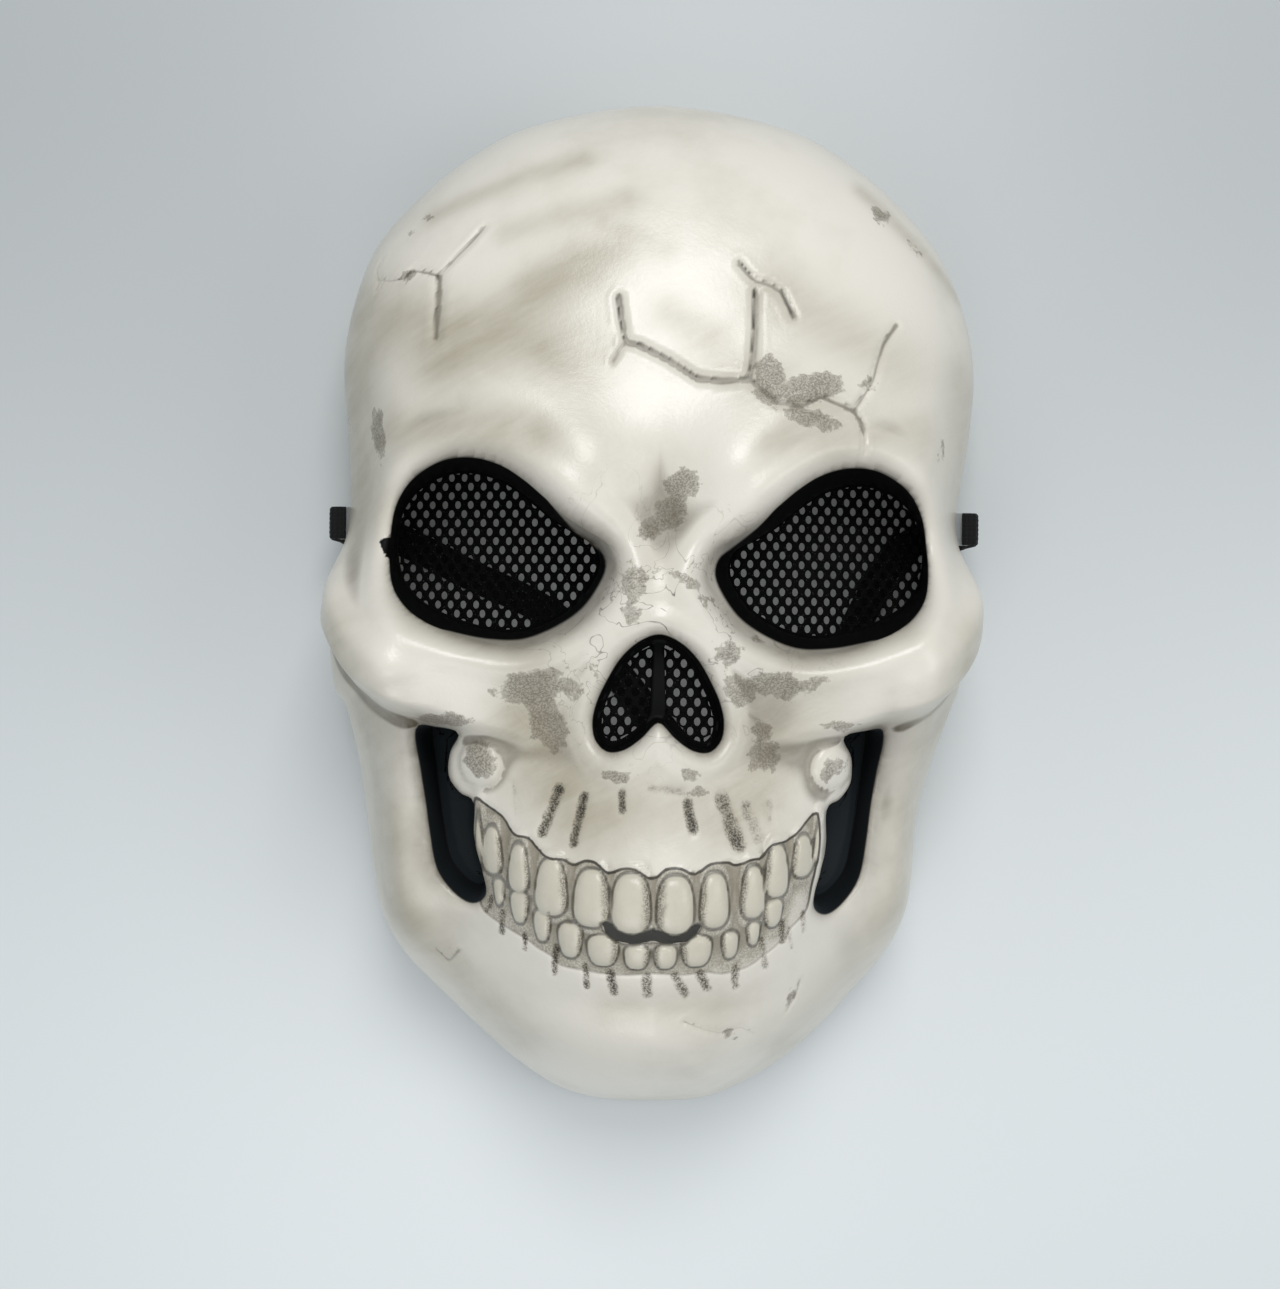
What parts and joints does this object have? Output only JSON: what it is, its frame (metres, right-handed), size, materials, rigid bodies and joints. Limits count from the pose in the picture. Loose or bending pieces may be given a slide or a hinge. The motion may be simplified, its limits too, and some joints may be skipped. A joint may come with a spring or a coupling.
{
  "type": "skull mask",
  "caption": "Formed plastic skull face mask with mesh behind the eyes and nose and a slack elastic head strap on clear tabs, lying face up on its rim.",
  "frame": {"origin": "bottom centre of the bounding box: the plane of the rim on which the mask rests", "axes": "+Z out of the face, +Y from chin to crown, +X to the right as the face is looked at"},
  "size_m": [0.1822, 0.284, 0.0928],
  "materials": {
    "painted_shell": "gloss ivory paint with brown-black airbrushed grime, black inside the sockets",
    "black_mesh": "black air mesh with round holes",
    "clear_tab": "cloudy clear plastic",
    "black_elastic": "woven black elastic"
  },
  "bodies": {
    "root": {"mask_shell": "painted_shell", "eye_mesh_left": "black_mesh", "eye_mesh_right": "black_mesh", "nose_mesh": "black_mesh", "strap_tab_left": "clear_tab", "strap_tab_right": "clear_tab", "head_strap": "black_elastic"}
  },
  "joints": []
}
